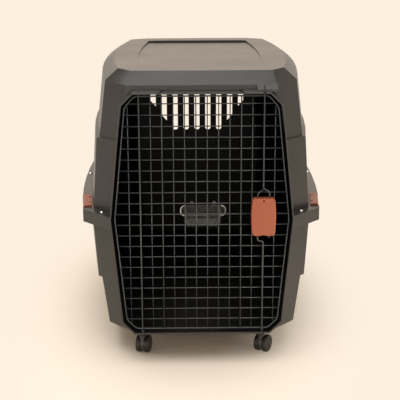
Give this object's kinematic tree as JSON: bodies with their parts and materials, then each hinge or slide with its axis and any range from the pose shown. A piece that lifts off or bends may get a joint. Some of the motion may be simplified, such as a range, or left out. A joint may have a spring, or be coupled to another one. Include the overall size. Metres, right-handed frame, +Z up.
{
  "type": "pet transport crate",
  "caption": "Wheeled hard-shell pet transport crate: two clipped and bolted shells, wire grille door with squeeze latch, hanging bowl, swivel casters.",
  "frame": {"origin": "centre of the bounding box in plan, on the floor under the wheels", "axes": "+Z up, the door faces -Y, +X to the right as seen from the door side; lengths run along Y"},
  "size_m": [0.675, 1.034, 0.784],
  "materials": {
    "shell_plastic": "fine satin grain",
    "coated_wire": "satin coating",
    "black_plastic": "satin",
    "orange_plastic": "satin",
    "bright_steel": "bright",
    "clear_plastic": "clear",
    "wheel_rubber": "matt"
  },
  "bodies": {
    "crate": {"upper_shell": "shell_plastic", "lower_shell": "shell_plastic", "clip_pin_front_right": "bright_steel", "clip_pin_front_left": "bright_steel", "clip_pin_rear_right": "bright_steel", "clip_pin_rear_left": "bright_steel", "bolt_front_right": "bright_steel", "bolt_front_left": "bright_steel", "bolt_rear_right": "bright_steel", "bolt_rear_left": "bright_steel", "bolt_side_right": "bright_steel", "bolt_side_left": "bright_steel", "wing_nut_front_right": "black_plastic", "wing_nut_front_left": "black_plastic", "wing_nut_rear_right": "black_plastic", "wing_nut_rear_left": "black_plastic", "wing_nut_side_right": "black_plastic", "wing_nut_side_left": "black_plastic", "caster_front_left_stem": "bright_steel", "caster_front_right_stem": "bright_steel", "caster_rear_left_stem": "bright_steel", "caster_rear_right_stem": "bright_steel"},
    "door": {"door_grille": "coated_wire", "latch_carrier": "black_plastic", "latch_spring_upper": "bright_steel", "latch_spring_lower": "bright_steel"},
    "latch_outer": {"latch_cover": "orange_plastic", "latch_rod_upper": "coated_wire"},
    "latch_inner": {"latch_grip": "orange_plastic", "latch_rod_lower": "coated_wire"},
    "bowl": {"water_bowl": "clear_plastic"},
    "clip_fr": {"clip_front_right": "orange_plastic"},
    "clip_fl": {"clip_front_left": "orange_plastic"},
    "clip_rr": {"clip_rear_right": "orange_plastic"},
    "clip_rl": {"clip_rear_left": "orange_plastic"},
    "swivel_fl": {"caster_front_left_housing": "black_plastic", "caster_front_left_axle": "bright_steel"},
    "swivel_fr": {"caster_front_right_housing": "black_plastic", "caster_front_right_axle": "bright_steel"},
    "swivel_rl": {"caster_rear_left_housing": "black_plastic", "caster_rear_left_axle": "bright_steel"},
    "swivel_rr": {"caster_rear_right_housing": "black_plastic", "caster_rear_right_axle": "bright_steel"},
    "wheel_fl_l": {"caster_front_left_wheel_l": "wheel_rubber"},
    "wheel_fl_r": {"caster_front_left_wheel_r": "wheel_rubber"},
    "wheel_fr_l": {"caster_front_right_wheel_l": "wheel_rubber"},
    "wheel_fr_r": {"caster_front_right_wheel_r": "wheel_rubber"},
    "wheel_rl_l": {"caster_rear_left_wheel_l": "wheel_rubber"},
    "wheel_rl_r": {"caster_rear_left_wheel_r": "wheel_rubber"},
    "wheel_rr_l": {"caster_rear_right_wheel_l": "wheel_rubber"},
    "wheel_rr_r": {"caster_rear_right_wheel_r": "wheel_rubber"}
  },
  "joints": [
    {"name": "door_swing", "type": "hinge", "parent": "crate", "child": "door", "pos_m": [-0.1573, -0.4962, 0.4], "axis": [0, 0, -1], "range_deg": [0, 110]},
    {"name": "latch_pull_down", "type": "slide", "parent": "door", "child": "latch_outer", "axis": [0, 0, -1], "range_m": [0, 0.024], "stiffness_N_per_m": 300, "springref_m": -0.02, "deforming": ["latch_spring_upper"]},
    {"name": "latch_push_up", "type": "slide", "parent": "door", "child": "latch_inner", "axis": [0, 0, 1], "range_m": [0, 0.024], "stiffness_N_per_m": 300, "springref_m": -0.02, "deforming": ["latch_spring_lower"]},
    {"name": "bowl_lift", "type": "slide", "parent": "door", "child": "bowl", "axis": [0, 0, 1], "range_m": [0, 0.015]},
    {"name": "clip_fr_hinge", "type": "hinge", "parent": "crate", "child": "clip_fr", "pos_m": [0.31716, -0.33665, 0.3715], "axis": [0.102, 0.9948, 0], "range_deg": [0, 100]},
    {"name": "clip_fl_hinge", "type": "hinge", "parent": "crate", "child": "clip_fl", "pos_m": [-0.31716, -0.33665, 0.3715], "axis": [0.102, -0.9948, 0], "range_deg": [0, 100]},
    {"name": "clip_rr_hinge", "type": "hinge", "parent": "crate", "child": "clip_rr", "pos_m": [0.31716, 0.35065, 0.3715], "axis": [-0.102, 0.9948, 0], "range_deg": [0, 100]},
    {"name": "clip_rl_hinge", "type": "hinge", "parent": "crate", "child": "clip_rl", "pos_m": [-0.31716, 0.35065, 0.3715], "axis": [-0.102, -0.9948, 0], "range_deg": [0, 100]},
    {"name": "swivel_fl_turn", "type": "hinge", "parent": "crate", "child": "swivel_fl", "pos_m": [-0.162, -0.418, 0.04], "axis": [0, 0, 1], "continuous": true},
    {"name": "swivel_fr_turn", "type": "hinge", "parent": "crate", "child": "swivel_fr", "pos_m": [0.162, -0.418, 0.04], "axis": [0, 0, 1], "continuous": true},
    {"name": "swivel_rl_turn", "type": "hinge", "parent": "crate", "child": "swivel_rl", "pos_m": [-0.162, 0.432, 0.04], "axis": [0, 0, 1], "continuous": true},
    {"name": "swivel_rr_turn", "type": "hinge", "parent": "crate", "child": "swivel_rr", "pos_m": [0.162, 0.432, 0.04], "axis": [0, 0, 1], "continuous": true},
    {"name": "wheel_fl_l_spin", "type": "hinge", "parent": "swivel_fl", "child": "wheel_fl_l", "pos_m": [-0.1591, -0.40636, 0.024], "axis": [0.9703, -0.2419, 0], "continuous": true},
    {"name": "wheel_fl_r_spin", "type": "hinge", "parent": "swivel_fl", "child": "wheel_fl_r", "pos_m": [-0.1591, -0.40636, 0.024], "axis": [0.9703, -0.2419, 0], "continuous": true},
    {"name": "wheel_fr_l_spin", "type": "hinge", "parent": "swivel_fr", "child": "wheel_fr_l", "pos_m": [0.168, -0.40761, 0.024], "axis": [0.866, -0.5, 0], "continuous": true},
    {"name": "wheel_fr_r_spin", "type": "hinge", "parent": "swivel_fr", "child": "wheel_fr_r", "pos_m": [0.168, -0.40761, 0.024], "axis": [0.866, -0.5, 0], "continuous": true},
    {"name": "wheel_rl_l_spin", "type": "hinge", "parent": "swivel_rl", "child": "wheel_rl_l", "pos_m": [-0.162, 0.444, 0.024], "axis": [1, 0, 0], "continuous": true},
    {"name": "wheel_rl_r_spin", "type": "hinge", "parent": "swivel_rl", "child": "wheel_rl_r", "pos_m": [-0.162, 0.444, 0.024], "axis": [1, 0, 0], "continuous": true},
    {"name": "wheel_rr_l_spin", "type": "hinge", "parent": "swivel_rr", "child": "wheel_rr_l", "pos_m": [0.162, 0.444, 0.024], "axis": [1, 0, 0], "continuous": true},
    {"name": "wheel_rr_r_spin", "type": "hinge", "parent": "swivel_rr", "child": "wheel_rr_r", "pos_m": [0.162, 0.444, 0.024], "axis": [1, 0, 0], "continuous": true}
  ],
  "couplings": [
    {"joint": "latch_push_up", "follows": "latch_pull_down", "ratio": 1}
  ]
}
